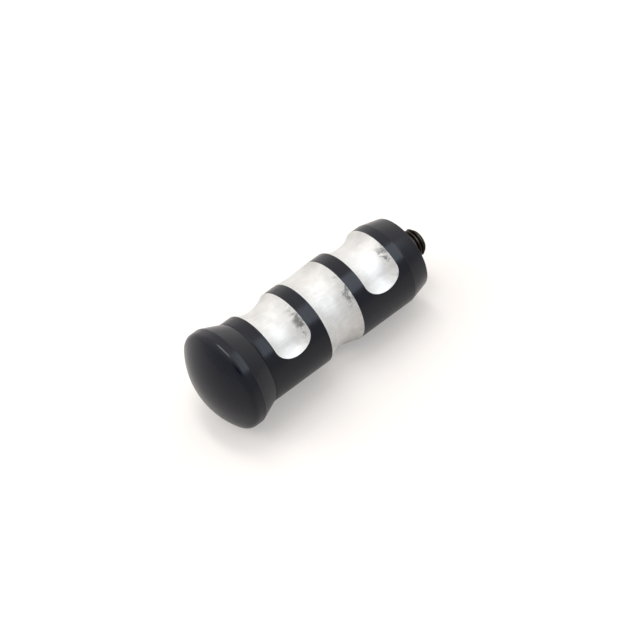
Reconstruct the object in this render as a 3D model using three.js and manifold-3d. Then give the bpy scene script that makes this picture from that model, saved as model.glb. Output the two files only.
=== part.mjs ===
// A motorcycle foot peg: a turned and milled aluminium sleeve, held to its lever by a screw that runs
// through it, and closed at its outer end by a domed cap that screws in.
//
// Units are millimetres. The origin is the centre of the inboard face, which seats against the lever.
// +X runs along the peg towards the domed cap, and +Z is the upper side, midway between the grooves'
// ends.
import * as THREE from "three";
import { mergeVertices } from "three/addons/utils/BufferGeometryUtils.js";
import Module from "manifold-3d";

const INCH = 25.4;
const FULL_TURN = 2 * Math.PI;
const CONTACT_GAP = 0.02; // between faces that bear on each other

// Peg body, a sleeve
const BODY_RADIUS = (15 / 32) * INCH;
const BODY_LENGTH = 53.7;
const FACE_RADIUS = 10.57; // inboard face, at the small end of the taper
const TAPER_LENGTH = 5.6;
const EDGE_BREAK = 0.2;

// Grooves: each is one pass of a ball-nose cutter half-way round the body
const GROOVE_FIRST = 13.97; // from the inboard face to the first groove's middle
const GROOVE_PITCH = 15.2;
const GROOVE_COUNT = 3;
const GROOVE_WIDTH = 11;
const CUTTER_RADIUS = 10.3;
const CUTTER_HALF_WIDTH = 7; // how much of the ball's tip is modelled
const CUTTER_REACH = 7; // how far the cutter stands out past its tip
const GROOVE_START = THREE.MathUtils.degToRad(45); // from +Z towards +Y, on the middle of the cutter
const GROOVE_SWEEP = Math.PI;

// Bore and counterbore
const SCREW_BORE_RADIUS = 4.2;
const COUNTERBORE_RADIUS = 7.34; // also the tapping size of the cap's thread
const SEAL_RECESS_RADIUS = 9.1;
const SEAL_RECESS_DEPTH = 2.1;

// Mounting screw: 5/16-24 UNF by 1 1/4 inch socket head cap screw
const SCREW_RADIUS = (5 / 32) * INCH - 0.03;
const SCREW_PITCH = INCH / 24;
const SCREW_LENGTH = 1.25 * INCH;
const SCREW_THREAD_LENGTH = INCH / 2;
const SCREW_PROTRUSION = 6.6; // past the inboard face
const HEAD_RADIUS = 5.95;
const HEAD_HEIGHT = 7.94;
const HEAD_CHAMFER = 0.5;
const SOCKET_WIDTH = 0.25 * INCH; // across the flats
const SOCKET_DEPTH = 4.4;

// Washers under the screw's head
const FLAT_WASHER_RADIUS = 7.1;
const FLAT_WASHER_THICKNESS = 1.6;
const LOCK_WASHER_RADIUS = 5.85;
const LOCK_WASHER_THICKNESS = 2.4;
const WASHER_BORE_RADIUS = 4.15;
const LOCK_WASHER_SLOT = 1;
const LOCK_WASHER_SLOT_ANGLE = THREE.MathUtils.degToRad(35);

// End cap and its spigot, threaded 5/8-18 UNF
const CAP_RIM_RADIUS = 14.18;
const CAP_SKIRT_LENGTH = 5.45; // the cone from the body's diameter out to the rim
const CAP_BAND_LENGTH = 1.9;
const CAP_KNUCKLE_RADIUS = 2.2; // rounds the band into the dome's crown
const CAP_CROWN_RADIUS = 21.65;
const CAP_PITCH = INCH / 18;
const CAP_THREAD_RADIUS = (5 / 16) * INCH - 0.09;
const CAP_THREAD_CLEARANCE = 0.21; // radial, between the two threads' crests and roots
const SPIGOT_RADIUS = 6.95; // root of the thread, and seat of the seal ring
const SPIGOT_LENGTH = 9.5;
const SPIGOT_CHAMFER = 0.6;
const THREAD_RELIEF = 2.6; // unthreaded neck beside the shoulder
const BODY_THREAD_LENGTH = 8.6;

// Seal ring
const SEAL_SECTION_RADIUS = 0.98;

// Internal seat of the washers
const SEAT_X = SCREW_LENGTH - SCREW_PROTRUSION - FLAT_WASHER_THICKNESS - LOCK_WASHER_THICKNESS;

// A 60 degree thread's form
const THREAD_FLANK = Math.PI / 6; // from square to the axis
const CREST_SHARE = 1 / 8; // flat of the crest, in pitches
const OUTSIDE_DEPTH_SHARE = 0.6134; // depth of an outside thread, in pitches

// Fineness of the faceted surfaces
const ROUND_SEGMENTS = 48;
const BORE_SEGMENTS = 24; // also each turn of the cap's thread
const SCREW_SEGMENTS = 12; // each turn of the screw's thread
const WASHER_SEGMENTS = 36;
const CUTTER_ARC_STEPS = 8;
const SWEEP_STEPS = 22;
const KNUCKLE_STEPS = 3;
const CROWN_STEPS = 7;
const SEAL_STEPS = 8;

// Small allowances of the cuts and joins
const OVERRUN = 1; // how far a cutting shape runs past the faces it cuts
const OVERLAP = 0.3; // how far a thread's foot lies inside its core
const WELD_TOLERANCE = 0.002; // corners and slivers closer than this are joined up in a cut
const MERGE_TOLERANCE = 1e-4;
const CORNER_OFFSET = 0.03; // radians, a small turn that keeps two shapes' corners apart

const wasm = await Module();
wasm.setup();

// ---- geometry helpers ----

// A closed geometry as a manifold-3d solid: position only, shared vertices merged, no flat triangles.
function solid(geometry) {
  const bare = geometry.index ? geometry.toNonIndexed() : geometry.clone();
  bare.deleteAttribute("normal");
  bare.deleteAttribute("uv");
  const merged = mergeVertices(bare, MERGE_TOLERANCE);
  const corners = merged.index.array;
  const kept = [];
  for (let i = 0; i < corners.length; i += 3) {
    const [a, b, c] = corners.slice(i, i + 3);
    const flat = a === b || b === c || c === a;
    if (!flat) {
      kept.push(a, b, c);
    }
  }
  const vertProperties = new Float32Array(merged.attributes.position.array);
  const triVerts = new Uint32Array(kept);
  const mesh = new wasm.Mesh({ numProp: 3, vertProperties, triVerts, tolerance: WELD_TOLERANCE });
  return new wasm.Manifold(mesh);
}

// A manifold-3d solid as a three.js geometry.
function geometryOf(shape) {
  const { vertProperties, triVerts } = shape.getMesh();
  const geometry = new THREE.BufferGeometry();
  geometry.setAttribute("position", new THREE.BufferAttribute(vertProperties, 3));
  geometry.setIndex(new THREE.BufferAttribute(triVerts, 1));
  geometry.computeVertexNormals();
  return geometry;
}

// Turns an outline of [x, radius] points round the X axis. The outline runs towards +X along the outside,
// and either starts and ends on the axis or closes on itself.
function turned(outline, segments = ROUND_SEGMENTS) {
  const points = outline.map(([x, radius]) => new THREE.Vector2(radius, x));
  return new THREE.LatheGeometry(points, segments).rotateZ(-Math.PI / 2);
}

// The same for a ring or sleeve: the outline is closed back to its first point.
function turnedRing(outline, segments) {
  return turned([...outline, outline[0]], segments);
}

// Points on an arc in the [x, radius] plane, with angles from the +X direction.
function arc(centreX, centreRadius, radius, from, to, steps) {
  return Array.from({ length: steps + 1 }, (_, i) => {
    const angle = from + ((to - from) * i) / steps;
    return [centreX + radius * Math.cos(angle), centreRadius + radius * Math.sin(angle)];
  });
}

// Sweeps a section of [x, radius] points round the X axis through an angle, moving it along X by lead in
// each turn. The angle starts at +Y and grows towards +Z.
function swept(section, start, sweep, lead, steps) {
  const shape = new THREE.Shape(section.map(([x, radius]) => new THREE.Vector2(x, radius)));
  const geometry = new THREE.ExtrudeGeometry(shape, { depth: sweep, steps, bevelEnabled: false });
  const position = geometry.attributes.position;
  for (let i = 0; i < position.count; i++) {
    const turn = position.getZ(i);
    const radius = position.getY(i);
    const x = position.getX(i) + (lead * turn) / FULL_TURN;
    position.setXYZ(i, x, radius * Math.cos(start + turn), radius * Math.sin(start + turn));
  }
  return geometry;
}

// The ridge of a thread from one X to about another, as a section swept along its helix. Its foot reaches
// down to footRadius. It starts part of a step round from +Y, so that its corners fall between those of a
// turned shape of as many segments, and their faces cross cleanly.
function threadRidge(crestRadius, footRadius, pitch, from, to, segmentsPerTurn) {
  const crest = (CREST_SHARE * pitch) / 2;
  const foot = crest + (crestRadius - footRadius) * Math.tan(THREAD_FLANK);
  const section = [
    [-foot, footRadius],
    [foot, footRadius],
    [crest, crestRadius],
    [-crest, crestRadius],
  ];
  const steps = Math.ceil(((to - from) / pitch) * segmentsPerTurn);
  const step = FULL_TURN / segmentsPerTurn;
  const start = 0.4 * step;
  return solid(swept(section, start, steps * step, pitch, steps)).translate([from, 0, 0]);
}

// The thread on the outside of a shank whose tip faces -X. A 45 degree cone fades its first turn out.
function outsideThread(crestRadius, rootRadius, pitch, from, tipX, endX, segmentsPerTurn) {
  const footRadius = rootRadius - OVERLAP;
  const limitRadius = crestRadius + OVERLAP;
  const ridge = threadRidge(crestRadius, footRadius, pitch, from, endX, segmentsPerTurn);
  const startX = tipX + 1.5 * OVERLAP;
  const envelope = turned(
    [
      [startX, 0],
      [startX, footRadius],
      [startX + limitRadius - footRadius, limitRadius],
      [endX + pitch, limitRadius],
      [endX + pitch, 0],
    ],
    WASHER_SEGMENTS,
  );
  envelope.rotateX(CORNER_OFFSET);
  return ridge.intersect(solid(envelope));
}

// ---- peg body ----

// The tip of the ball-nose cutter as an outline over its width, [offset, distance from the cutter's tip].
function cutterTip(steps) {
  const halfAngle = Math.asin(CUTTER_HALF_WIDTH / CUTTER_RADIUS);
  const down = -Math.PI / 2;
  return arc(0, CUTTER_RADIUS, CUTTER_RADIUS, down - halfAngle, down + halfAngle, steps);
}

// One groove's cut: the cutter's tip swept round the body, and the cutter itself where the pass starts and
// ends. turnSide is +1 for a pass that starts on the +Y side of the top and goes over to -Y, and -1 for its
// mirror image.
function grooveCut(x, turnSide) {
  const halfWidth = GROOVE_WIDTH / 2;
  const depth = CUTTER_RADIUS - Math.sqrt(CUTTER_RADIUS ** 2 - halfWidth ** 2);
  const floorRadius = BODY_RADIUS - depth;
  const tip = cutterTip(CUTTER_ARC_STEPS);
  const section = [
    ...tip.map(([offset, height]) => [offset, floorRadius + height]),
    [CUTTER_HALF_WIDTH, floorRadius + CUTTER_REACH],
    [-CUTTER_HALF_WIDTH, floorRadius + CUTTER_REACH],
  ];
  const top = Math.PI / 2;
  const start = turnSide > 0 ? top - GROOVE_START : top + GROOVE_START - GROOVE_SWEEP;
  const pass = solid(swept(section, start, GROOVE_SWEEP, 0, SWEEP_STEPS));

  const middle = CUTTER_ARC_STEPS / 2;
  const halfTip = tip.slice(middle).map(([offset, height]) => [height, offset]);
  const cutterOutline = [...halfTip, [CUTTER_REACH, CUTTER_HALF_WIDTH], [CUTTER_REACH, 0]];
  const cutter = turned(cutterOutline, BORE_SEGMENTS);
  cutter.rotateX(Math.PI / BORE_SEGMENTS); // half a segment round, clear of the swept pass's corners
  cutter.translate(floorRadius, 0, 0).rotateZ(Math.PI / 2); // standing on the groove's floor at +Y
  const ends = [start, start + GROOVE_SWEEP].map((angle) => solid(cutter.clone().rotateX(angle)));
  return pass.add(ends[0]).add(ends[1]).translate([x, 0, 0]);
}

function pegBody() {
  const recessX = BODY_LENGTH - SEAL_RECESS_DEPTH;
  const outside = solid(
    turned([
      [0, 0],
      [0, FACE_RADIUS - EDGE_BREAK],
      [EDGE_BREAK, FACE_RADIUS],
      [TAPER_LENGTH, BODY_RADIUS],
      [BODY_LENGTH, BODY_RADIUS],
      [BODY_LENGTH, 0],
    ]),
  );
  const bore = solid(
    turned(
      [
        [-OVERRUN, 0],
        [-OVERRUN, SCREW_BORE_RADIUS + EDGE_BREAK + OVERRUN],
        [EDGE_BREAK, SCREW_BORE_RADIUS],
        [SEAT_X, SCREW_BORE_RADIUS],
        [SEAT_X, COUNTERBORE_RADIUS],
        [recessX, COUNTERBORE_RADIUS],
        [recessX, SEAL_RECESS_RADIUS],
        [BODY_LENGTH + OVERRUN, SEAL_RECESS_RADIUS],
        [BODY_LENGTH + OVERRUN, 0],
      ],
      BORE_SEGMENTS,
    ),
  );
  const threadRadius = CAP_THREAD_RADIUS + CAP_THREAD_CLEARANCE;
  const footRadius = COUNTERBORE_RADIUS - OVERLAP;
  const threadEnd = recessX + CAP_PITCH;
  const threadStart = capThreadPhase(recessX - BODY_THREAD_LENGTH);
  const tap = threadRidge(threadRadius, footRadius, CAP_PITCH, threadStart, threadEnd, BORE_SEGMENTS);
  const grooves = Array.from({ length: GROOVE_COUNT }, (_, i) =>
    grooveCut(GROOVE_FIRST + i * GROOVE_PITCH, i % 2 === 0 ? 1 : -1),
  );
  return [bore, tap, ...grooves].reduce((body, cut) => body.subtract(cut), outside);
}

// ---- end cap ----

// The first X at or above the one given where the cap's thread starts a turn, so that both threads are
// in mesh.
function capThreadPhase(x) {
  return BODY_LENGTH - Math.floor((BODY_LENGTH - x) / CAP_PITCH) * CAP_PITCH;
}

function endCap() {
  const shoulderX = BODY_LENGTH + CONTACT_GAP;
  const tipX = BODY_LENGTH - SPIGOT_LENGTH;
  const skirtX = shoulderX + CAP_SKIRT_LENGTH;
  const bandEndX = skirtX + CAP_BAND_LENGTH;
  const knuckleCentre = CAP_RIM_RADIUS - CAP_KNUCKLE_RADIUS;
  const centreGap = CAP_CROWN_RADIUS - CAP_KNUCKLE_RADIUS;
  const joinAngle = Math.asin(knuckleCentre / centreGap);
  const crownX = bandEndX - centreGap * Math.cos(joinAngle);
  const square = Math.PI / 2;
  const knuckle = arc(bandEndX, knuckleCentre, CAP_KNUCKLE_RADIUS, square, joinAngle, KNUCKLE_STEPS);
  const crown = arc(crownX, 0, CAP_CROWN_RADIUS, joinAngle, 0, CROWN_STEPS);
  const head = solid(
    turned([
      [shoulderX, 0],
      [shoulderX, BODY_RADIUS],
      [skirtX, CAP_RIM_RADIUS],
      ...knuckle,
      ...crown.slice(1, -1),
      [crownX + CAP_CROWN_RADIUS, 0],
    ]),
  );
  const spigot = solid(
    turned(
      [
        [tipX, 0],
        [tipX, SPIGOT_RADIUS - SPIGOT_CHAMFER],
        [tipX + SPIGOT_CHAMFER, SPIGOT_RADIUS],
        [skirtX, SPIGOT_RADIUS],
        [skirtX, 0],
      ],
      BORE_SEGMENTS,
    ),
  );
  const reliefX = BODY_LENGTH - THREAD_RELIEF;
  const ridgeX = capThreadPhase(tipX) - CAP_PITCH;
  const radii = [CAP_THREAD_RADIUS, SPIGOT_RADIUS];
  const thread = outsideThread(...radii, CAP_PITCH, ridgeX, tipX, reliefX, BORE_SEGMENTS);
  return head.add(spigot).add(thread);
}

// The cap turns in the ring, so the flats of the ring's inside clear the corners of the spigot.
function sealRing() {
  const x = BODY_LENGTH - SEAL_RECESS_DEPTH / 2;
  const insideRadius = SPIGOT_RADIUS / Math.cos(Math.PI / BORE_SEGMENTS) + CONTACT_GAP;
  const middle = insideRadius + SEAL_SECTION_RADIUS;
  const section = arc(x, middle, SEAL_SECTION_RADIUS, Math.PI, -Math.PI, SEAL_STEPS);
  return solid(turned(section, BORE_SEGMENTS));
}

// ---- mounting screw and washers ----

function mountingScrew() {
  const tipX = -SCREW_PROTRUSION;
  const headX = SCREW_LENGTH - SCREW_PROTRUSION;
  const topX = headX + HEAD_HEIGHT;
  const rootRadius = SCREW_RADIUS - OUTSIDE_DEPTH_SHARE * SCREW_PITCH;
  const threadEnd = tipX + SCREW_THREAD_LENGTH;
  const core = solid(
    turned(
      [
        [tipX, 0],
        [tipX, rootRadius - EDGE_BREAK],
        [tipX + EDGE_BREAK, rootRadius],
        [threadEnd + EDGE_BREAK, rootRadius],
        [threadEnd + EDGE_BREAK, 0],
      ],
      SCREW_SEGMENTS,
    ),
  );
  const head = solid(
    turned(
      [
        [threadEnd, 0],
        [threadEnd, SCREW_RADIUS],
        [headX, SCREW_RADIUS],
        [headX, HEAD_RADIUS],
        [topX - HEAD_CHAMFER, HEAD_RADIUS],
        [topX, HEAD_RADIUS - HEAD_CHAMFER],
        [topX, 0],
      ],
      WASHER_SEGMENTS,
    ),
  );
  const ridgeX = tipX - SCREW_PITCH;
  const radii = [SCREW_RADIUS, rootRadius];
  const ridgeEnd = threadEnd + EDGE_BREAK / 2;
  const thread = outsideThread(...radii, SCREW_PITCH, ridgeX, tipX, ridgeEnd, SCREW_SEGMENTS);
  const socketRadius = SOCKET_WIDTH / Math.sqrt(3);
  const socket = new THREE.CylinderGeometry(socketRadius, socketRadius, SOCKET_DEPTH + OVERRUN, 6);
  socket.rotateZ(Math.PI / 2).translate(topX + (OVERRUN - SOCKET_DEPTH) / 2, 0, 0);
  return core.add(thread).add(head).subtract(solid(socket));
}

function flatWasher() {
  const from = SEAT_X + CONTACT_GAP;
  const to = SEAT_X + FLAT_WASHER_THICKNESS;
  return solid(
    turnedRing(
      [
        [from, WASHER_BORE_RADIUS],
        [from, FLAT_WASHER_RADIUS],
        [to, FLAT_WASHER_RADIUS],
        [to, WASHER_BORE_RADIUS],
      ],
      WASHER_SEGMENTS,
    ),
  );
}

// A split spring washer, pressed flat, with its slot cut at a slant.
function lockWasher() {
  const from = SEAT_X + FLAT_WASHER_THICKNESS + CONTACT_GAP;
  const to = SEAT_X + FLAT_WASHER_THICKNESS + LOCK_WASHER_THICKNESS - CONTACT_GAP;
  const ring = solid(
    turnedRing(
      [
        [from, WASHER_BORE_RADIUS],
        [from, LOCK_WASHER_RADIUS],
        [to, LOCK_WASHER_RADIUS],
        [to, WASHER_BORE_RADIUS],
      ],
      WASHER_SEGMENTS,
    ),
  );
  const slot = new THREE.BoxGeometry(4 * LOCK_WASHER_THICKNESS, LOCK_WASHER_SLOT, 2 * LOCK_WASHER_RADIUS);
  slot.rotateZ(LOCK_WASHER_SLOT_ANGLE).translate((from + to) / 2, 0, LOCK_WASHER_RADIUS);
  return ring.subtract(solid(slot));
}

// ---- the assembly ----

const blackAnodised = { color: 0x14161b, roughness: 0.35, metalness: 0.6 };
const blackOxide = { color: 0x1a1715, roughness: 0.45, metalness: 0.8 };
const zincPlate = { color: 0x9a9c9e, roughness: 0.35, metalness: 1 };
const blackRubber = { color: 0x0b0b0b, roughness: 0.8, metalness: 0 };

function part(name, shape, finish) {
  const mesh = new THREE.Mesh(geometryOf(shape), new THREE.MeshStandardMaterial(finish));
  mesh.name = name;
  return mesh;
}

const peg = new THREE.Group();
peg.name = "foot_peg";
peg.add(part("peg_body", pegBody(), blackAnodised));

const cap = new THREE.Group();
cap.name = "cap_group";
cap.add(part("end_cap", endCap(), blackAnodised));
cap.add(part("cap_seal_ring", sealRing(), blackRubber));
peg.add(cap);

const fastening = new THREE.Group();
fastening.name = "fastening";
fastening.add(part("mounting_screw", mountingScrew(), blackOxide));
fastening.add(part("lock_washer", lockWasher(), zincPlate));
fastening.add(part("flat_washer", flatWasher(), zincPlate));
peg.add(fastening);

export default peg;
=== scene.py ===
"""A motorcycle foot peg, lying on a pale table under soft studio light.

It is a black anodised sleeve with three bright milled grooves, a domed screw-in cap and the screw that holds
it to its lever.

Lengths are millimetres in the code and metres in the scene. The peg runs along +X from its inboard face.
Angles round it start at the top, +Z, and grow towards +Y.
"""

import math

import bmesh
import bpy
import numpy as np
from mathutils import Matrix, Vector


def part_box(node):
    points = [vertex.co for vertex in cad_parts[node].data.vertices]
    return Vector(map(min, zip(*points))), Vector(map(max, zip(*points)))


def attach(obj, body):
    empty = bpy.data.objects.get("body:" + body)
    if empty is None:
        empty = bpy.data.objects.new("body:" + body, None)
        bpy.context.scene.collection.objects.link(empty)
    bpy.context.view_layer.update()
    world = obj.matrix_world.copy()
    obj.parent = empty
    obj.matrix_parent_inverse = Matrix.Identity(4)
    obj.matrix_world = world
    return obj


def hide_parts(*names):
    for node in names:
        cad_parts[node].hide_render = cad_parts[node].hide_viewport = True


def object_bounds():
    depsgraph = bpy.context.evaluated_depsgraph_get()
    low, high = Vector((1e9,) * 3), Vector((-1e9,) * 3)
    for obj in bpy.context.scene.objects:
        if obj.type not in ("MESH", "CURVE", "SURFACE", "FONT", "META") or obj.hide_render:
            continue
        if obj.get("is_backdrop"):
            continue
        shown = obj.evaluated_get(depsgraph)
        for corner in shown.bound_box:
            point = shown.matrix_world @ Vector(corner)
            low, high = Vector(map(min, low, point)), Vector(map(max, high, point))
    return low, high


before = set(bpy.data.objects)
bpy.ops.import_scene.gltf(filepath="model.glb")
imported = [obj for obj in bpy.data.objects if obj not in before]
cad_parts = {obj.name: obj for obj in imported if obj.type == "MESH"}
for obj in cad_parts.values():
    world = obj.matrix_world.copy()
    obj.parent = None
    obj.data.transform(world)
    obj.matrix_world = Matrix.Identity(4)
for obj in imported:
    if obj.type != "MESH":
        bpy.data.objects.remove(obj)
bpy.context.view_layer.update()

MM = 0.001
INCH = 25.4

# ---- dimensions that the frame gives ----


def box_mm(node):
    """A CAD node's lowest and highest corners in millimetres."""
    return tuple(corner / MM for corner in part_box(node))


BODY_LENGTH = box_mm("peg_body")[1].x
BODY_RADIUS = box_mm("peg_body")[1].y
CAP_TIP_X, CAP_APEX_X = (corner.x for corner in box_mm("end_cap"))
CAP_RIM_RADIUS = box_mm("end_cap")[1].y
SCREW_TIP_X, SCREW_TOP_X = (corner.x for corner in box_mm("mounting_screw"))
HEAD_RADIUS = box_mm("mounting_screw")[1].y
LOCK_WASHER_X = tuple(corner.x for corner in box_mm("lock_washer"))
LOCK_WASHER_RADIUS = box_mm("lock_washer")[1].y
FLAT_WASHER_X = tuple(corner.x for corner in box_mm("flat_washer"))
FLAT_WASHER_RADIUS = box_mm("flat_washer")[1].y
SEAL_X = tuple(corner.x for corner in box_mm("cap_seal_ring"))
SEAL_RADIUS = box_mm("cap_seal_ring")[1].y

# ---- dimensions of the details, as in the CAD ----

FACE_RADIUS = 10.57
TAPER_LENGTH = 5.6
TAPER_BLEND = 0.5
EDGE_BREAK = 0.2
NECK_BREAK = 0.14  # where the sleeve and the cap meet
CONTACT_GAP = 0.02  # between faces that bear on each other
SCREW_BORE_RADIUS = 4.2
SCREW_BORE_CHAMFER = 0.35
SCREW_BORE_JOIN_X = 6  # where the bore's two outlines meet
COUNTERBORE_RADIUS = 7.34
SEAL_RECESS_RADIUS = 9.1
SEAL_RECESS_DEPTH = 2.1

GROOVE_CENTRES = (13.97, 29.17, 44.37)
GROOVE_SIDES = (1, -1, 1)  # +1 where a groove ends high on the +Y side
GROOVE_HALF_WIDTH = 5.5
CUTTER_RADIUS = 10.3
CUTTER_PATH_RADIUS = BODY_RADIUS + math.sqrt(CUTTER_RADIUS**2 - GROOVE_HALF_WIDTH**2)
GROOVE_START = math.radians(45)
GROOVE_SWEEP = math.pi
LIP_OUTSIDE = 0.04  # the broken edge of a groove, either side of its sharp outline
LIP_INSIDE = 0.18
LIP_CROWN = 0.005  # how far the middle of the broken edge stands out

CAP_SKIRT_LENGTH = 5.45
CAP_BAND_LENGTH = 1.9
CAP_KNUCKLE_RADIUS = 2.2
CAP_CROWN_RADIUS = 21.65
CAP_PITCH = INCH / 18
CAP_THREAD_RADIUS = 7.8475
SPIGOT_RADIUS = 6.95
THREAD_RELIEF = 2.6
SPIGOT_THREAD_FADE = 0.7
BODY_THREAD_RADIUS = 8.0575
BODY_THREAD_LENGTH = 8.6
BODY_THREAD_COUNTERSINK = 0.9
BODY_THREAD_MOUTH_RADIUS = BODY_THREAD_RADIUS + 0.1
SPIGOT_TIP_RADIUS = SPIGOT_RADIUS - 0.45
SPIGOT_HOLLOW_RADIUS = 2.2  # the centre drill's mark in the spigot's end
SPIGOT_HOLLOW_DEPTH = 1.9
SEAL_CLEARANCE = 0.02
SEAL_FLASH = 0.025

SCREW_RADIUS = 3.939
SCREW_PITCH = INCH / 24
SCREW_THREAD_LENGTH = 12.7
SCREW_RUN_OUT = 1.3
HEAD_HEIGHT = 7.94
SOCKET_WIDTH = INCH / 4
SOCKET_DEPTH = 4.4
SOCKET_CONE_DEPTH = 0.9  # the drill's point below the hexagon
SOCKET_CHAMFER = 0.28
SOCKET_CHAMFER_WIDTH = 0.12  # at the hexagon's corners
HEAD_CHAMFER = 0.5
HEAD_BAND = 1.35  # the plain band above the knurl
SCREW_TIP_CHAMFER = 0.35
KNURL_TEETH = 48
KNURL_DEPTH = 0.16
KNURL_PROFILE = (1, 0.4, 0, 0.4)  # depths along one tooth
KNURL_START = 0.25  # above the head's underside
KNURL_END = 1.6  # below its top
WASHER_BORE_RADIUS = 4.15
LOCK_SLOT_WIDTH = 1.0
LOCK_SLOT_SLANT = math.radians(35)

TURN = 2 * math.pi
THREAD_DEPTH_SHARE = 0.6134  # of the pitch
THREAD_FLANK = math.pi / 6  # from square to the axis
THREAD_FADE = 0.8  # rise of the body's and the screw's threads at their blind ends, in radius per length
CREST_SHARE = 0.36  # of the pitch that the flanks leave
FLANK_STEPS = 5
ANGLE_TOLERANCE = 1e-7
BLACK, BARE = 0, 1  # the sleeve's two materials

# ---- meshes ----


def around(x, radius, angle):
    """The point at an angle round the peg's axis, in metres."""
    return (x * MM, radius * math.sin(angle) * MM, radius * math.cos(angle) * MM)


def even_angles(count):
    """Angles once round, with the first repeated at the end."""
    return [TURN * i / count for i in range(count + 1)]


class Skin:
    """Rows of points and the faces between neighbouring rows, welded into one mesh at the end."""

    def __init__(self):
        self.points = []
        self.faces = []
        self.finishes = []

    def row(self, points):
        first = len(self.points)
        self.points += points
        return list(range(first, len(self.points)))

    def strip(self, a, b, finish=BLACK):
        for i in range(len(a) - 1):
            self.face((a[i], b[i], b[i + 1], a[i + 1]), finish)

    def rows(self, rows):
        """Joins each row to the next, and returns the last."""
        placed = [self.row(r) for r in rows]
        for a, b in zip(placed, placed[1:]):
            self.strip(a, b)
        return placed[-1]

    def face(self, points, finish=BLACK):
        self.faces.append(tuple(points))
        self.finishes.append(finish)

    def piece(self, name, materials, sharp_degrees=28, weld=2e-7):
        """The welded mesh as an object, with sharp edges by angle and between materials."""
        mesh = bpy.data.meshes.new(name)
        mesh.from_pydata(self.points, [], self.faces)
        mesh.polygons.foreach_set("material_index", self.finishes)
        work = bmesh.new()
        work.from_mesh(mesh)
        bmesh.ops.remove_doubles(work, verts=work.verts, dist=weld)
        bmesh.ops.recalc_face_normals(work, faces=work.faces)
        limit = math.radians(sharp_degrees)
        for edge in work.edges:
            edge.smooth = len(edge.link_faces) == 2 and edge.calc_face_angle(0) < limit
            if len({face.material_index for face in edge.link_faces}) > 1:
                edge.smooth = False
        for face in work.faces:
            face.smooth = True
        work.to_mesh(mesh)
        work.free()
        for material in materials:
            mesh.materials.append(material)
        obj = bpy.data.objects.new(name, mesh)
        bpy.context.scene.collection.objects.link(obj)
        return obj


def rounded(corners, steps=5):
    """An outline of (x, radius, rounding) corners with each rounded corner as an arc."""
    outline = []
    for i, (x, radius, rounding) in enumerate(corners):
        here = Vector((x, radius))
        if not rounding:
            outline.append((x, radius))
            continue
        before = Vector(corners[i - 1][:2])
        after = Vector(corners[i + 1][:2])
        inward = (before - here).normalized()
        onward = (after - here).normalized()
        half = inward.angle(onward) / 2
        centre = here + (inward + onward).normalized() * (rounding / math.sin(half))
        start = here + inward * (rounding / math.tan(half)) - centre
        sweep = start.angle_signed(here + onward * (rounding / math.tan(half)) - centre)
        for k in range(steps + 1):
            point = start.copy()
            point.rotate(Matrix.Rotation(-sweep * k / steps, 2))
            outline.append(tuple(centre + point))
    return outline


def arc(x, radius, size, start, end, steps):
    """Points on an arc of a size round (x, radius), with angles from the +X direction."""
    points = []
    for k in range(steps + 1):
        angle = start + (end - start) * k / steps
        points.append((x + size * math.cos(angle), radius + size * math.sin(angle)))
    return points


def rings(outline, angles):
    """A row all the way round for each (x, radius) point of an outline."""
    return [[around(x, radius, a) for a in angles] for x, radius in outline]


def thread_rows(angles, start_x, end_x, pitch, inner, outer, start_limit, end_limit):
    """Rows that follow a thread's helix between two flat rings.

    inner and outer are the radii of its roots and crests. The limits are functions of x and the radius that
    fade it at its two ends.
    """
    depth = outer - inner
    flank = depth * math.tan(THREAD_FLANK) / pitch  # a flank's share of the pitch
    crest = (1 - 2 * flank) * CREST_SHARE
    root = 1 - crest - 2 * flank
    flank_steps = range(1, FLANK_STEPS + 1)
    shares = [0, crest / 2]
    shares += [shares[-1] + flank * k / FLANK_STEPS for k in flank_steps]
    shares += [shares[-1] + root / 2, shares[-1] + root]
    shares += [shares[-1] + flank * k / FLANK_STEPS for k in flank_steps]

    def height(share):
        from_crest = min(share, 1 - share)
        return 1 - min(1, max(0, (from_crest - crest / 2) / flank))

    turns = math.ceil((end_x - start_x) / pitch) + 1
    rows = []
    for turn in range(-1, turns):
        for share in shares:
            row = []
            for a in angles:
                x = start_x + (turn + share + a / TURN) * pitch
                x = min(end_x, max(start_x, x))
                radius = inner + depth * height(share)
                radius = end_limit(x, start_limit(x, radius))
                row.append(around(x, radius, a))
            rows.append(row)
    return rows


# ---- the sleeve ----


def groove_tip_angle(cutter_radius, surface_radius):
    """How far past its last stop the cutter still reaches a cylinder."""
    path = CUTTER_PATH_RADIUS
    cosine = (path**2 + surface_radius**2 - cutter_radius**2) / (2 * path * surface_radius)
    return math.acos(cosine)


def groove_reach(cutter_radius, surface_radius, past):
    """Half the width that the cutter takes out of a cylinder at an angle past its last stop."""
    path = CUTTER_PATH_RADIUS
    square = cutter_radius**2 - path**2 - surface_radius**2 + 2 * path * surface_radius * math.cos(past)
    return math.sqrt(max(0, square))


def groove_radius(offset, past):
    """The groove's floor at an offset along the peg and an angle past the cutter's last stop."""
    path = CUTTER_PATH_RADIUS
    return path * math.cos(past) - math.sqrt(CUTTER_RADIUS**2 - offset**2 - (path * math.sin(past)) ** 2)


LIP_CUTTER = math.hypot(GROOVE_HALF_WIDTH + LIP_OUTSIDE, CUTTER_PATH_RADIUS - BODY_RADIUS)
LIP_RADIUS = groove_radius(GROOVE_HALF_WIDTH - LIP_INSIDE, 0)
LIP_TIP = groove_tip_angle(LIP_CUTTER, BODY_RADIUS)
FLOOR_TIP = groove_tip_angle(CUTTER_RADIUS, LIP_RADIUS)


def groove_span(side):
    """The angles of the cutter's first and last stops."""
    first = GROOVE_START - GROOVE_SWEEP if side > 0 else -GROOVE_START
    return first, first + GROOVE_SWEEP


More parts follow.
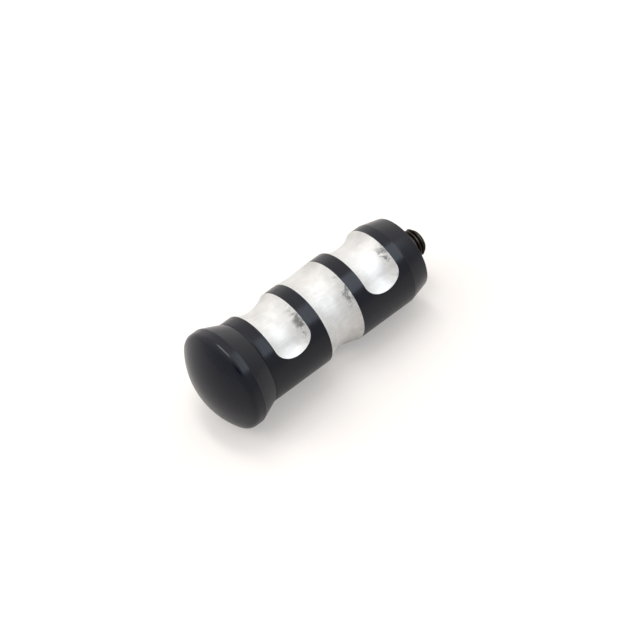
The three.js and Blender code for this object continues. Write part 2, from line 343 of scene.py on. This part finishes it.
def sleeve_angles(end_steps=26, step=math.radians(1.5)):
    """Angles once round the sleeve, closer together where a groove's outline curves round its end."""
    zones = []
    for side in (1, -1):
        first, last = groove_span(side)
        zones.append((first - LIP_TIP, first, -1))
        zones.append((last, last + LIP_TIP, 1))
    zones.sort()
    angles = []
    for i, (low, high, way) in enumerate(zones):
        for k in range(end_steps + 1):
            share = math.sin(math.pi / 2 * k / end_steps)
            angles.append(low + LIP_TIP * share if way > 0 else high - LIP_TIP * share)
        following = zones[(i + 1) % len(zones)][0] + (TURN if i + 1 == len(zones) else 0)
        count = math.ceil((following - high) / step)
        angles += [high + (following - high) * k / count for k in range(1, count)]
    angles = sorted(angles)
    return angles + [angles[0] + TURN]


def past_stop(angle, side):
    """How far an angle lies past the groove's nearer stop, negative at its first and 0 between the stops."""
    first, last = groove_span(side)
    middle = (first + last) / 2
    angle = middle + (angle - middle + math.pi) % TURN - math.pi
    if angle < first:
        return angle - first
    return max(0, angle - last)


def groove_column(centre, angle, past, across):
    """A row of points across a groove's floor, and at its tips a row with no width."""
    share = past / LIP_TIP
    at_tip = abs(past) > LIP_TIP - ANGLE_TOLERANCE
    floor_past = math.copysign(FLOOR_TIP, share) if at_tip else share * FLOOR_TIP
    reach = 0 if at_tip else groove_reach(CUTTER_RADIUS, LIP_RADIUS, floor_past)
    column = []
    for j in range(across + 1):
        offset = reach * math.sin(math.pi / 2 * (2 * j / across - 1))
        radius = groove_radius(offset, floor_past)
        column.append(around(centre + offset, radius, angle - past + floor_past))
    return column


def lip_point(outline, floor):
    """The middle of a groove's broken edge, between a point of its outline and one of its floor."""
    middle = (Vector(outline) + Vector(floor)) / 2
    outward = Vector((0, middle.y, middle.z)).normalized()
    return tuple(middle + outward * LIP_CROWN * MM)


def groove_patch(skin, angles, centre, side, across=22):
    """Adds a groove's floor and lip. Returns its left and right outlines, each as a row and its points.

    The outlines meet where there is no groove.
    """
    past = [past_stop(a, side) for a in angles]
    left, right, inside = [], [], []
    for k, (a, p) in enumerate(zip(angles, past)):
        reach = 0
        if abs(p) < LIP_TIP + ANGLE_TOLERANCE:
            inside.append(k)
        if abs(p) < LIP_TIP - ANGLE_TOLERANCE:
            reach = groove_reach(LIP_CUTTER, BODY_RADIUS, p)
        left.append(around(centre - reach, BODY_RADIUS, a))
        right.append(around(centre + reach, BODY_RADIUS, a))
    left_row, right_row = skin.row(left), skin.row(right)

    for run in consecutive(inside):
        columns = [groove_column(centre, angles[k], past[k], across) for k in run]
        floor_rows = [skin.row([column[j] for column in columns]) for j in range(across + 1)]
        for a, b in zip(floor_rows, floor_rows[1:]):
            skin.strip(a, b, BARE)
        for outline, outline_row, end in ((left, left_row, 0), (right, right_row, -1)):
            lip = [lip_point(outline[k], column[end]) for k, column in zip(run, columns)]
            lip_row = skin.row(lip)
            skin.strip([outline_row[k] for k in run], lip_row, BARE)
            skin.strip(lip_row, floor_rows[end], BARE)
    return (left_row, left), (right_row, right)


def consecutive(numbers):
    """Splits sorted numbers into runs without a gap."""
    found = []
    for n in numbers:
        if found and n == found[-1][-1] + 1:
            found[-1].append(n)
        else:
            found.append([n])
    return found


def between(skin, start, end, steps=4):
    """Fills the land between two rows on the sleeve's cylinder, each given as a row and its points."""
    previous, start_points = start
    end_row, end_points = end
    for k in range(1, steps):
        row = []
        for p, q in zip(start_points, end_points):
            row.append(tuple(u + (v - u) * k / steps for u, v in zip(p, q)))
        current = skin.row(row)
        skin.strip(previous, current)
        previous = current
    skin.strip(previous, end_row)


def sleeve(anodised, bare):
    skin = Skin()
    angles = sleeve_angles()
    recess_x = BODY_LENGTH - SEAL_RECESS_DEPTH
    seat_x = FLAT_WASHER_X[0]

    inboard = rounded(
        [
            (SCREW_BORE_JOIN_X, SCREW_BORE_RADIUS, 0),
            (SCREW_BORE_CHAMFER, SCREW_BORE_RADIUS, 0),
            (0, SCREW_BORE_RADIUS + SCREW_BORE_CHAMFER, 0.08),
            (0, FACE_RADIUS, EDGE_BREAK),
            (TAPER_LENGTH, BODY_RADIUS, TAPER_BLEND),
            (TAPER_LENGTH + 1.2, BODY_RADIUS, 0),
        ],
        steps=6,
    )
    inboard_rows = rings(inboard, angles)
    reached = skin.rows(inboard_rows), inboard_rows[-1]
    for centre, side in zip(GROOVE_CENTRES, GROOVE_SIDES):
        left, right = groove_patch(skin, angles, centre, side)
        between(skin, reached, left)
        reached = right
    outboard = rounded(
        [
            (BODY_LENGTH - 1, BODY_RADIUS, 0),
            (BODY_LENGTH, BODY_RADIUS, NECK_BREAK),
            (BODY_LENGTH, SEAL_RECESS_RADIUS, 0.1),
            (recess_x, SEAL_RECESS_RADIUS, 0.15),
            (recess_x, BODY_THREAD_MOUTH_RADIUS, 0),
        ],
    )
    outboard_rows = rings(outboard, angles)
    between(skin, reached, (skin.row(outboard_rows[0]), outboard_rows[0]))
    skin.rows(outboard_rows)

    thread_start = recess_x - BODY_THREAD_LENGTH

    def fade_in(x, radius):
        return min(radius, COUNTERBORE_RADIUS + (x - thread_start) * THREAD_FADE)

    def countersink(x, radius):
        if x <= recess_x - BODY_THREAD_COUNTERSINK:
            return radius
        return max(radius, BODY_THREAD_MOUTH_RADIUS + (x - recess_x))

    threads = thread_rows(
        angles,
        thread_start,
        recess_x,
        CAP_PITCH,
        COUNTERBORE_RADIUS,
        BODY_THREAD_RADIUS,
        fade_in,
        countersink,
    )
    skin.rows(threads)
    inner = rounded(
        [
            (thread_start, COUNTERBORE_RADIUS, 0),
            (seat_x, COUNTERBORE_RADIUS, 0.25),
            (seat_x, SCREW_BORE_RADIUS, 0.1),
            (SCREW_BORE_JOIN_X, SCREW_BORE_RADIUS, 0),
        ],
    )
    skin.rows(rings(inner, angles))
    return skin.piece("sleeve", [anodised, bare])


# ---- the cap ----


def cap(anodised):
    skin = Skin()
    angles = even_angles(288)
    shoulder_x = BODY_LENGTH + CONTACT_GAP
    skirt_x = shoulder_x + CAP_SKIRT_LENGTH
    band_end_x = skirt_x + CAP_BAND_LENGTH
    knuckle_centre = CAP_RIM_RADIUS - CAP_KNUCKLE_RADIUS
    join_angle = math.asin(knuckle_centre / (CAP_CROWN_RADIUS - CAP_KNUCKLE_RADIUS))
    knuckle = arc(band_end_x, knuckle_centre, CAP_KNUCKLE_RADIUS, math.pi / 2, join_angle, 16)
    crown = arc(CAP_APEX_X - CAP_CROWN_RADIUS, 0, CAP_CROWN_RADIUS, join_angle, 0, 36)
    relief_x = BODY_LENGTH - THREAD_RELIEF
    outside = rounded(
        [
            (relief_x, SPIGOT_RADIUS, 0),
            (shoulder_x, SPIGOT_RADIUS, 0.15),
            (shoulder_x, BODY_RADIUS, NECK_BREAK),
            (skirt_x, CAP_RIM_RADIUS, 0.25),
            (band_end_x, CAP_RIM_RADIUS, 0),
        ],
    )
    skin.rows(rings(outside + knuckle[1:] + crown[1:], angles))

    def chamfer(x, radius):
        return min(radius, SPIGOT_TIP_RADIUS + (x - CAP_TIP_X))

    def run_out(x, radius):
        return min(radius, SPIGOT_RADIUS + (relief_x - x) * SPIGOT_THREAD_FADE)

    threads = thread_rows(
        angles,
        CAP_TIP_X,
        relief_x,
        CAP_PITCH,
        SPIGOT_RADIUS,
        CAP_THREAD_RADIUS,
        chamfer,
        run_out,
    )
    skin.rows(threads)
    end_hollow = rounded(
        [
            (CAP_TIP_X, SPIGOT_TIP_RADIUS, 0),
            (CAP_TIP_X, SPIGOT_HOLLOW_RADIUS, 0.05),
            (CAP_TIP_X + SPIGOT_HOLLOW_DEPTH, 0.25, 0),
        ],
    )
    last = skin.rows(rings(end_hollow, angles))
    skin.face(last[:-1])
    return skin.piece("domed_cap", [anodised])


def seal(rubber):
    """An O-ring with the fine flash line of its mould round its outside and inside."""
    skin = Skin()
    angles = even_angles(160)
    middle_x = sum(SEAL_X) / 2
    section = (SEAL_X[1] - SEAL_X[0]) / 2
    middle_radius = SEAL_RADIUS - section
    steps = 36
    outline = []
    for k in range(steps + 1):
        angle = TURN * k / steps
        flash = SEAL_FLASH if k % (steps // 2) == steps // 4 else 0
        reach = section - SEAL_CLEARANCE + flash
        outline.append((middle_x + reach * math.cos(angle), middle_radius + reach * math.sin(angle)))
    skin.rows(rings(outline, angles))
    return skin.piece("o_ring", [rubber], sharp_degrees=60)


# ---- the screw and its washers ----


def screw(oxide):
    skin = Skin()
    angles = even_angles(KNURL_TEETH * len(KNURL_PROFILE))
    head_x = SCREW_TOP_X - HEAD_HEIGHT
    root = SCREW_RADIUS - THREAD_DEPTH_SHARE * SCREW_PITCH
    tip_radius = root - SCREW_TIP_CHAMFER
    thread_end = SCREW_TIP_X + SCREW_THREAD_LENGTH

    def chamfer(x, radius):
        return min(radius, tip_radius + (x - SCREW_TIP_X))

    def run_out(x, radius):
        if x <= thread_end - SCREW_RUN_OUT:
            return radius
        return max(radius, SCREW_RADIUS - (thread_end - x) * THREAD_FADE)

    threads = thread_rows(
        angles,
        SCREW_TIP_X,
        thread_end,
        SCREW_PITCH,
        root,
        SCREW_RADIUS,
        chamfer,
        run_out,
    )
    skin.rows(threads)
    tip = [(SCREW_TIP_X, tip_radius), (SCREW_TIP_X, 0.6)]
    last = skin.rows(rings(tip, angles))
    skin.face(last[:-1])

    shank = rounded(
        [
            (thread_end, SCREW_RADIUS, 0),
            (head_x, SCREW_RADIUS, 0.2),
            (head_x, HEAD_RADIUS - KNURL_DEPTH, 0),
        ],
    )
    skin.rows(rings(shank, angles))

    def knurled(x, depth):
        row = []
        for i, a in enumerate(angles):
            inset = depth * KNURL_PROFILE[i % len(KNURL_PROFILE)]
            row.append(around(x, HEAD_RADIUS - inset, a))
        return row

    side = [
        rings([(head_x, HEAD_RADIUS - KNURL_DEPTH)], angles)[0],
        knurled(head_x + KNURL_START, KNURL_DEPTH),
        knurled(SCREW_TOP_X - KNURL_END, KNURL_DEPTH),
        knurled(SCREW_TOP_X - HEAD_BAND, 0),
    ]
    skin.rows(side)
    hex_radius = SOCKET_WIDTH / 2
    bottom_x = SCREW_TOP_X - SOCKET_DEPTH

    def hexagon(x):
        row = []
        for a in angles:
            from_flat = a % (TURN / 6) - TURN / 12
            row.append(around(x, hex_radius / math.cos(from_flat), a))
        return row

    top = rounded(
        [
            (SCREW_TOP_X - HEAD_BAND, HEAD_RADIUS, 0),
            (SCREW_TOP_X, HEAD_RADIUS, HEAD_CHAMFER),
            (SCREW_TOP_X, hex_radius / math.cos(math.pi / 6) + SOCKET_CHAMFER_WIDTH, 0),
        ],
    )
    socket = [hexagon(SCREW_TOP_X - SOCKET_CHAMFER), hexagon(bottom_x)]
    floor = rings([(bottom_x, hex_radius - 0.05), (bottom_x - SOCKET_CONE_DEPTH, 0.4)], angles)
    last = skin.rows(rings(top, angles) + socket + floor)
    skin.face(last[:-1])
    return skin.piece("socket_screw", [oxide])


def flat_washer(zinc):
    """A punched washer, rolled at the edges on one side and sheared on the other."""
    skin = Skin()
    angles = even_angles(144)
    low, high = FLAT_WASHER_X
    middle = (WASHER_BORE_RADIUS + FLAT_WASHER_RADIUS) / 2
    outline = rounded(
        [
            (low, middle, 0),
            (low, FLAT_WASHER_RADIUS, 0.3),
            (high, FLAT_WASHER_RADIUS, 0.08),
            (high, WASHER_BORE_RADIUS, 0.08),
            (low, WASHER_BORE_RADIUS, 0.25),
            (low, middle, 0),
        ],
    )
    skin.rows(rings(outline, angles))
    return skin.piece("plain_washer", [zinc])


def lock_washer(zinc):
    """A split spring washer. Its section is swept round from one side of its slanted slot to the other."""
    skin = Skin()
    low, high = LOCK_WASHER_X
    middle_x = (low + high) / 2
    middle = (WASHER_BORE_RADIUS + LOCK_WASHER_RADIUS) / 2
    outline = rounded(
        [
            (low, middle, 0),
            (low, LOCK_WASHER_RADIUS, 0.18),
            (high, LOCK_WASHER_RADIUS, 0.18),
            (high, WASHER_BORE_RADIUS, 0.18),
            (low, WASHER_BORE_RADIUS, 0.18),
            (low, middle, 0),
        ],
        steps=4,
    )
    steps = 120
    half_slot = LOCK_SLOT_WIDTH / 2 / math.cos(LOCK_SLOT_SLANT)
    rows = []
    for x, radius in outline:
        lean = (x - middle_x) * math.tan(LOCK_SLOT_SLANT)
        first = -math.asin((lean - half_slot) / radius)
        last = TURN - math.asin((lean + half_slot) / radius)
        rows.append([around(x, radius, first + (last - first) * k / steps) for k in range(steps + 1)])
    placed = [skin.row(r) for r in rows]
    for a, b in zip(placed, placed[1:]):
        skin.strip(a, b)
    for k in (0, -1):
        skin.face(row[k] for row in placed[:-1])
    return skin.piece("spring_washer", [zinc])


# ---- materials ----

# Where the painted dark reflection sits in each groove.
PAINTED_REFLECTION_OFFSET = 4.6  # inboard of each groove's centre
PAINTED_REFLECTION_ANGLE = math.radians(33)


class Finish:
    """A material with one Principled shader, and short calls for the nodes that feed it."""

    def __init__(self, name, **values):
        self.material = bpy.data.materials.new(name)
        self.material.use_nodes = True
        self.tree = self.material.node_tree
        self.shader = self.tree.nodes["Principled BSDF"]
        for socket, value in values.items():
            self.shader.inputs[socket.replace("_", " ")].default_value = value
        self.position = self.node("ShaderNodeTexCoord").outputs["Object"]

    def node(self, kind, **settings):
        made = self.tree.nodes.new(kind)
        for key, value in settings.items():
            setattr(made, key, value)
        return made

    def link(self, source, target):
        if hasattr(source, "is_output"):
            self.tree.links.new(source, target)
        else:
            target.default_value = source

    def math(self, operation, *values, clamp=False):
        made = self.node("ShaderNodeMath", operation=operation, use_clamp=clamp)
        for value, socket in zip(values, made.inputs):
            self.link(value, socket)
        return made.outputs[0]

    def parts(self):
        """The position's X, Y and Z."""
        made = self.node("ShaderNodeSeparateXYZ")
        self.link(self.position, made.inputs[0])
        return made.outputs

    def radius(self, y, z):
        """Distance from the peg's axis."""
        squares = [self.math("MULTIPLY", part, part) for part in (y, z)]
        return self.math("SQRT", self.math("ADD", *squares))

    def blend(self, a, b, share_a):
        """Two values added in shares that make one whole."""
        return self.math("ADD", self.math("MULTIPLY", a, share_a), self.math("MULTIPLY", b, 1 - share_a))

    def vector(self, x, y, z):
        made = self.node("ShaderNodeCombineXYZ")
        for value, socket in zip((x, y, z), made.inputs):
            self.link(value, socket)
        return made.outputs[0]

    def noise(self, scale, detail=3.0, roughness=0.55, vector=None, distortion=0.0):
        made = self.node("ShaderNodeTexNoise")
        self.link(self.position if vector is None else vector, made.inputs["Vector"])
        for name, value in (("Scale", scale), ("Detail", detail), ("Roughness", roughness)):
            made.inputs[name].default_value = value
        made.inputs["Distortion"].default_value = distortion
        return made.outputs["Fac"]

    def ramp(self, value, *stops):
        """Colours at places along 0 to 1."""
        made = self.node("ShaderNodeValToRGB")
        elements = made.color_ramp.elements
        while len(elements) < len(stops):
            elements.new(0.5)
        for element, (place, colour) in zip(elements, stops):
            element.position = place
            element.color = (*colour, 1)
        self.link(value, made.inputs[0])
        return made.outputs[0]

    def spread(self, value, low, high, start=0.3, end=0.7):
        """Maps a noise value's usual range to another."""
        made = self.node("ShaderNodeMapRange")
        for socket, number in zip(made.inputs[1:5], (start, end, low, high)):
            socket.default_value = number
        self.link(value, made.inputs[0])
        return made.outputs[0]

    def mix(self, share, a, b):
        made = self.node("ShaderNodeMix", data_type="RGBA")
        self.link(share, made.inputs[0])
        for socket, value in ((made.inputs[6], a), (made.inputs[7], b)):
            self.link((*value, 1) if isinstance(value, tuple) else value, socket)
        return made.outputs[2]

    def bump(self, height, distance, strength=1.0, normal=None):
        made = self.node("ShaderNodeBump")
        made.inputs["Strength"].default_value = strength
        made.inputs["Distance"].default_value = distance
        self.link(height, made.inputs["Height"])
        if normal is not None:
            self.link(normal, made.inputs["Normal"])
        return made.outputs[0]

    def feed(self, **sources):
        for socket, source in sources.items():
            self.link(source, self.shader.inputs[socket.replace("_", " ")])


def anodised_material():
    """Black anodised aluminium: dyed oxide over fine turning marks, with faint handling smears."""
    finish = Finish("black_anodised", IOR=1.36)
    x, y, z = finish.parts()
    turning = finish.vector(x, finish.radius(y, z), 0.0)
    rings_fine = finish.noise(9000, detail=2, vector=turning)
    rings_broad = finish.noise(1400, detail=3, vector=turning)
    blotch_noise = finish.noise(55, detail=4)
    speck = finish.noise(2600, detail=2)
    shade = finish.spread(finish.blend(blotch_noise, rings_broad, 0.6), 0, 1)
    colour = finish.mix(shade, (0.0006, 0.0014, 0.0060), (0.0014, 0.0026, 0.0088))
    rough = finish.math("ADD", finish.spread(rings_broad, 0.17, 0.25), finish.spread(blotch_noise, -0.02, 0.03))
    normal = finish.bump(finish.blend(rings_fine, speck, 0.7), 0.000005)
    normal = finish.bump(rings_broad, 0.000016, normal=normal)
    finish.feed(Base_Color=colour, Roughness=rough, Normal=normal)
    return finish.material


def painted_reflection_patches(finish, x, angle):
    """Painted reflection: dark streaky patches near the inboard wall of each groove, where the bright metal
    would mirror a dark thing.
    """
    pitch = (GROOVE_CENTRES[1] - GROOVE_CENTRES[0]) * MM
    start = (GROOVE_CENTRES[0] - PAINTED_REFLECTION_OFFSET) * MM
    turns = finish.math("MULTIPLY", finish.math("SUBTRACT", x, start), TURN / pitch)
    across = finish.spread(finish.math("COSINE", turns), 0, 1, start=0.80, end=0.98)
    from_middle = finish.math("SUBTRACT", angle, PAINTED_REFLECTION_ANGLE)
    around_peg = finish.spread(finish.math("COSINE", from_middle), 0, 1, start=0.90, end=0.975)
    blotch_noise = finish.noise(420, detail=5, roughness=0.62, distortion=0.9)
    patch = finish.math("MULTIPLY", across, around_peg)
    return finish.math("MULTIPLY", patch, finish.spread(blotch_noise, 0.0, 0.85, start=0.48, end=0.58), clamp=True)


def bare_material():
    """Bright milled aluminium: the grooves, with the cutter's fine arcs, a soft mottle and a painted dark
    reflection.
    """
    finish = Finish("milled_aluminium", Metallic=1.0)
    x, y, z = finish.parts()
    angle = finish.math("ARCTAN2", y, z)
    along = finish.math("MULTIPLY", angle, 0.011)
    wander = finish.math("MULTIPLY", finish.noise(160, detail=3), 0.0006)
    feed_marks = finish.vector(finish.math("MULTIPLY", x, 0.12), finish.math("ADD", along, wander), 0.0)
    marks = finish.noise(2600, detail=2, vector=feed_marks)
    cutter_arcs = finish.vector(x, finish.math("MULTIPLY", along, 0.06), 0.0)
    scratches = finish.noise(5200, detail=2, vector=cutter_arcs)
    mottle = finish.noise(230, detail=4, roughness=0.6)
    cloud = finish.noise(90, detail=2)
    colour = finish.mix(finish.spread(mottle, 0, 1), (0.61, 0.602, 0.59), (0.73, 0.725, 0.715))
    # Painted reflection: dark patches mixed into the colour near each groove's inboard wall.
    colour = finish.mix(painted_reflection_patches(finish, x, angle), colour, (0.20, 0.20, 0.205))
    streaks = finish.noise(1500, detail=4, roughness=0.7, vector=feed_marks)
    burnish = finish.spread(streaks, 0.0, -0.20, start=0.53, end=0.65)
    rough = finish.math("ADD", finish.spread(cloud, 0.60, 0.80), burnish)
    normal = finish.bump(finish.blend(marks, scratches, 0.6), 0.00003)
    normal = finish.bump(mottle, 0.00013, normal=normal)
    finish.feed(Base_Color=colour, Roughness=rough, Normal=normal)
    return finish.material


def oxide_material():
    """Oiled black oxide on steel, rubbed a little brighter on the thread's crests."""
    finish = Finish("black_oxide", Metallic=0.75)
    _, y, z = finish.parts()
    grain = finish.noise(3500, detail=3)
    stain = finish.noise(420, detail=3)
    worn = finish.spread(finish.radius(y, z), 0, 1, start=0.0036, end=SCREW_RADIUS * MM)
    rub = finish.math("MULTIPLY", worn, finish.spread(stain, 0.35, 1.0))
    colour = finish.mix(finish.spread(stain, 0, 1), (0.014, 0.010, 0.008), (0.028, 0.022, 0.018))
    colour = finish.mix(rub, colour, (0.10, 0.078, 0.062))
    rough = finish.math("ADD", finish.spread(grain, 0.30, 0.48), finish.math("MULTIPLY", rub, -0.08))
    normal = finish.bump(grain, 0.000012)
    finish.feed(Base_Color=colour, Roughness=rough, Normal=normal)
    return finish.material


def zinc_material():
    """Bright zinc plate with a faint blue and straw bloom."""
    finish = Finish("zinc_plate", Metallic=1.0)
    bloom = finish.noise(300, detail=3)
    grain = finish.noise(4200, detail=3)
    blue, plain, straw = (0.50, 0.53, 0.58), (0.60, 0.60, 0.59), (0.62, 0.57, 0.46)
    colour = finish.ramp(bloom, (0.3, blue), (0.52, plain), (0.72, straw))
    rough = finish.spread(grain, 0.24, 0.40)
    normal = finish.bump(grain, 0.00001)
    finish.feed(Base_Color=colour, Roughness=rough, Normal=normal)
    return finish.material


def rubber_material():
    """Black nitrile rubber with a fine matt grain and traces of grease."""
    finish = Finish("nitrile_rubber", IOR=1.5)
    grain = finish.noise(6000, detail=4)
    grease = finish.noise(500, detail=2)
    colour = finish.mix(finish.spread(grease, 0, 1), (0.010, 0.010, 0.010), (0.020, 0.019, 0.018))
    rough = finish.math("ADD", finish.spread(grease, 0.42, 0.68), finish.spread(grain, -0.05, 0.05))
    finish.feed(Base_Color=colour, Roughness=rough, Normal=finish.bump(grain, 0.000015))
    return finish.material


# ---- the studio ----

CAMERA_AZIMUTH = math.radians(142.479)  # 0 looks along +Y, and 90 looks along -X
CAMERA_ELEVATION = math.radians(48.437)
CAMERA_ROLL = math.radians(-6.024)
CAMERA_TURN = (
    Matrix.Rotation(CAMERA_AZIMUTH, 3, "Z")
    @ Matrix.Rotation(math.pi / 2 - CAMERA_ELEVATION, 3, "X")
    @ Matrix.Rotation(CAMERA_ROLL, 3, "Z")
)
CAMERA_AIM = Vector((32.81, 0, 0)) + CAMERA_TURN.col[0] * 3.40
CAMERA_DISTANCE = 598.7
CAMERA_LENS = 131.15

CARD_DISTANCE = 640  # from the camera's aim, so just behind the camera
CARD_WIDTH = 300
CARD_HEIGHT = 240

TABLE_SIZE = 6.0
TABLE_GLOW_SEEN = 0.29
TABLE_GLOW_ON_PEG = 0.10

BRIGHT_SIDE = (-0.45, -0.8, 1.0)  # of the room
ROOM_BRIGHT = 1.32
ROOM_DIM = 0.76


def place(name, data):
    obj = bpy.data.objects.new(name, data)
    bpy.context.scene.collection.objects.link(obj)
    return obj


def plane(name, width, height):
    """A flat staged sheet, in metres."""
    x, y = width / 2, height / 2
    mesh = bpy.data.meshes.new(name)
    mesh.from_pydata([(-x, -y, 0), (x, -y, 0), (x, y, 0), (-x, y, 0)], [], [(0, 1, 2, 3)])
    return place(name, mesh)


def on_camera_axis(distance):
    """The camera's own direction, at a distance from its aim."""
    spot = (CAMERA_AIM + CAMERA_TURN.col[2] * distance) * MM
    return Matrix.Translation(spot) @ CAMERA_TURN.to_4x4()


def camera():
    data = bpy.data.cameras.new("camera")
    data.lens = CAMERA_LENS
    data.sensor_width = 36
    data.clip_start = 0.01
    obj = place("camera", data)
    obj.matrix_world = on_camera_axis(CAMERA_DISTANCE)
    bpy.context.scene.camera = obj


def softbox(name, centre, towards, size, radiance, colour, lights=True, shines=True):
    """A rectangular light whose face has the given radiance.

    It may be kept from lighting rough surfaces or from showing in glossy ones.
    """
    width, height = size
    data = bpy.data.lights.new(name, "AREA")
    data.shape = "RECTANGLE"
    data.size, data.size_y = width, height
    data.energy = radiance * math.pi * width * height
    data.color = colour
    obj = place(name, data)
    facing = (Vector(centre) - Vector(towards)).normalized()
    upward = facing.cross(Vector((1, 0, 0))).normalized()
    turn = Matrix((upward.cross(facing), upward, facing)).transposed().to_4x4()
    obj.matrix_world = Matrix.Translation(Vector(centre)) @ turn
    obj.visible_camera = False
    obj.visible_diffuse = lights
    obj.visible_glossy = shines


def dark_card():
    """A dark card behind the camera, facing the peg, for the bright metal to reflect."""
    obj = plane("dark_card", CARD_WIDTH * MM, CARD_HEIGHT * MM)
    obj.matrix_world = on_camera_axis(CARD_DISTANCE)
    finish = Finish("card_black", Roughness=0.9)
    grain = finish.noise(20, detail=2)
    finish.feed(Base_Color=finish.mix(grain, (0.02, 0.02, 0.02), (0.03, 0.03, 0.03)))
    obj.data.materials.append(finish.material)
    obj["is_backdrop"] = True


def table(level):
    """A wide pale table top that glows a little.

    It slopes a little, because the peg lies on its cap's rim and on the body's other end.
    """
    obj = plane("table", TABLE_SIZE, TABLE_SIZE)
    drop = CAP_RIM_RADIUS - BODY_RADIUS
    rim_x = BODY_LENGTH + CAP_SKIRT_LENGTH
    obj.rotation_euler.y = math.atan(drop / (rim_x - TAPER_LENGTH))
    obj.location = (rim_x * MM, 0, level)
    finish = Finish("table_top", Roughness=0.9, Emission_Color=(1, 0.985, 0.97, 1))
    grain = finish.noise(30, detail=3)
    seen = finish.node("ShaderNodeLightPath").outputs["Is Camera Ray"]
    glow = finish.spread(seen, TABLE_GLOW_ON_PEG, TABLE_GLOW_SEEN, start=0, end=1)
    colour = finish.mix(grain, (0.61, 0.59, 0.575), (0.63, 0.61, 0.595))
    finish.feed(Base_Color=colour, Emission_Strength=glow)
    obj.data.materials.append(finish.material)
    obj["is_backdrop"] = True


def room():
    """The world: a pale room that is brighter and warmer on one side."""
    world = bpy.data.worlds.new("room")
    bpy.context.scene.world = world
    world.use_nodes = True
    tree = world.node_tree
    background = tree.nodes["Background"]
    coordinates = tree.nodes.new("ShaderNodeTexCoord")
    dot = tree.nodes.new("ShaderNodeVectorMath")
    dot.operation = "DOT_PRODUCT"
    dot.inputs[1].default_value = BRIGHT_SIDE
    tree.links.new(coordinates.outputs["Generated"], dot.inputs[0])
    ramp = tree.nodes.new("ShaderNodeMapRange")
    ramp.interpolation_type = "SMOOTHSTEP"
    for socket, number in zip(ramp.inputs[1:5], (0.0, 1.15, ROOM_DIM, ROOM_BRIGHT)):
        socket.default_value = number
    tree.links.new(dot.outputs["Value"], ramp.inputs[0])
    tree.links.new(ramp.outputs[0], background.inputs["Strength"])
    tint = tree.nodes.new("ShaderNodeMix")
    tint.data_type = "RGBA"
    tint.inputs[6].default_value = (0.86, 0.94, 1, 1)
    tint.inputs[7].default_value = (1, 0.97, 0.94, 1)
    tree.links.new(ramp.outputs[0], tint.inputs[0])
    tree.links.new(tint.outputs[2], background.inputs["Color"])


def studio():
    room()
    table(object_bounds()[0].z)
    softbox(
        "window",
        centre=(-0.47, 0.36, 0.62),
        towards=(-0.47, 0.36, 0),
        size=(0.56, 0.68),
        radiance=2.8,
        colour=(0.74, 0.87, 1.0),
        lights=False,
    )
    softbox(
        "strip",
        centre=(0, -0.17, 0.72),
        towards=(0, 0, 0),
        size=(0.11, 0.46),
        radiance=9.0,
        colour=(1.0, 0.99, 0.98),
    )
    softbox(
        "fill",
        centre=(0.60, -0.45, 0.42),
        towards=(0, 0, 0),
        size=(0.50, 0.50),
        radiance=2.6,
        colour=(1.0, 0.98, 0.965),
        shines=False,
    )
    dark_card()
    camera()
    bpy.context.scene.view_settings.view_transform = "Standard"


# ---- the object ----

anodised = anodised_material()
zinc = zinc_material()
PIECES = (
    (sleeve(anodised, bare_material()), "peg_body", "peg", "black_anodised"),
    (cap(anodised), "end_cap", "cap", "black_anodised_cap"),
    (seal(rubber_material()), "cap_seal_ring", "cap_seal", "seal_rubber"),
    (screw(oxide_material()), "mounting_screw", "screw", "black_oxide_steel"),
    (lock_washer(zinc), "lock_washer", "washers", "zinc_steel"),
    (flat_washer(zinc), "flat_washer", "washers", "zinc_steel"),
)
for piece, node, body, slot in PIECES:
    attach(piece, body)
    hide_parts(node)

studio()
